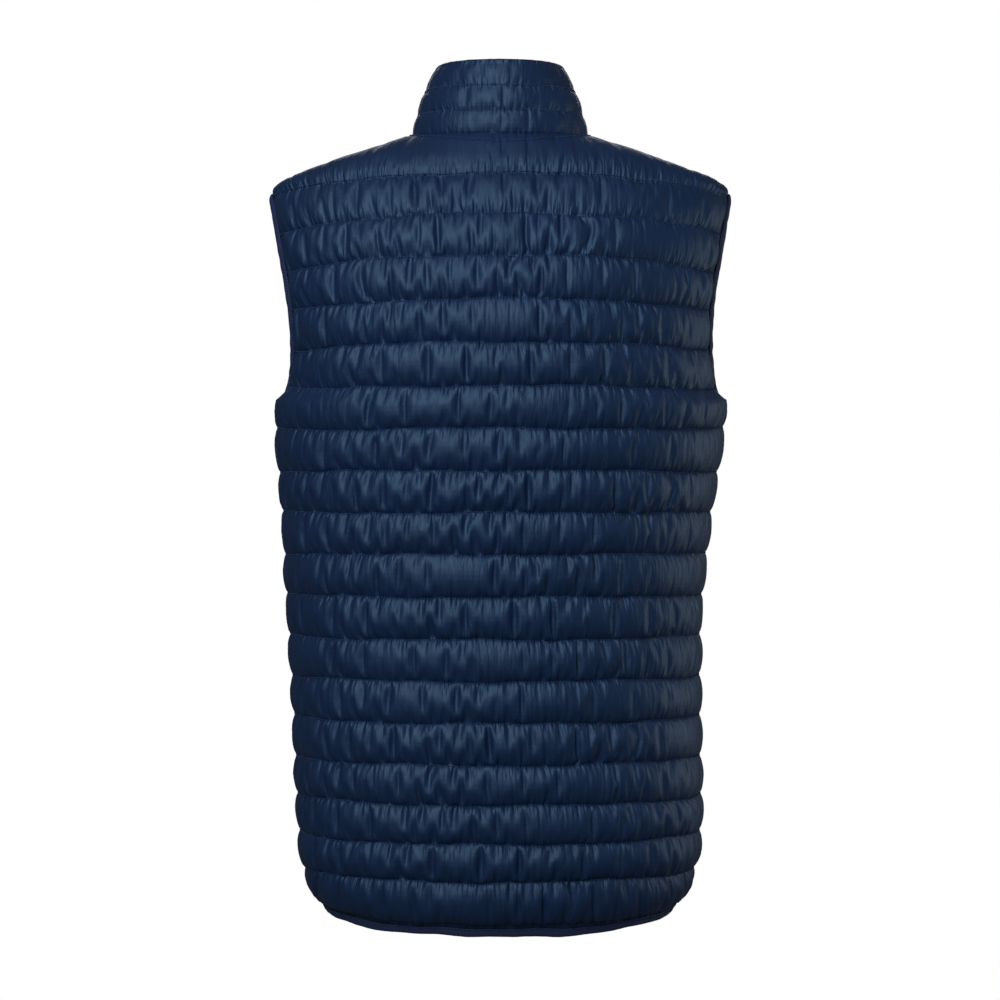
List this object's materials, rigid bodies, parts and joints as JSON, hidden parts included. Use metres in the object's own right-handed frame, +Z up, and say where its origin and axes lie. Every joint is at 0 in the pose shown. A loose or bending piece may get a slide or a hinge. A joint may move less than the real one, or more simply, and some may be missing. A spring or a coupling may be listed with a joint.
{
  "type": "quilted vest",
  "caption": "Sleeveless quilted padded vest with a stand collar, bound armholes and hem and a zipped front, hollow and filled out as when worn.",
  "frame": {"origin": "on the body's middle plane, level with the tops of the shoulders beside the neck, where the wearer holds the vest up", "axes": "+Z up along the body, +Y towards the wearer's back, +X towards the wearer's left"},
  "size_m": [0.4124, 0.2859, 0.762],
  "materials": {
    "quilted_shell": "smooth woven nylon with a soft sheen",
    "elastic_binding": "matte knitted elastic",
    "zip_tape": "matte woven tape",
    "zip_teeth": "satin moulded resin",
    "zip_metal": "satin paint"
  },
  "bodies": {
    "vest": {"back": "quilted_shell", "front_left_hem": "quilted_shell", "front_left_waist": "quilted_shell", "front_left_chest": "quilted_shell", "front_left_shoulder": "quilted_shell", "front_right_hem": "quilted_shell", "front_right_waist": "quilted_shell", "front_right_chest": "quilted_shell", "front_right_shoulder": "quilted_shell", "collar": "quilted_shell", "armhole_binding_left": "elastic_binding", "armhole_binding_right": "elastic_binding", "hem_binding": "elastic_binding", "zip_tape_left": "zip_tape", "zip_tape_right": "zip_tape", "zip_chain": "zip_teeth", "zip_box": "zip_teeth", "zip_slider": "zip_metal"},
    "pull": {"zip_pull": "zip_metal"}
  },
  "joints": [
    {"name": "pull_hinge", "type": "hinge", "parent": "vest", "child": "pull", "pos_m": [0, -0.09168, -0.01834], "axis": [-1, 0, 0], "range_deg": [0, 160]}
  ]
}
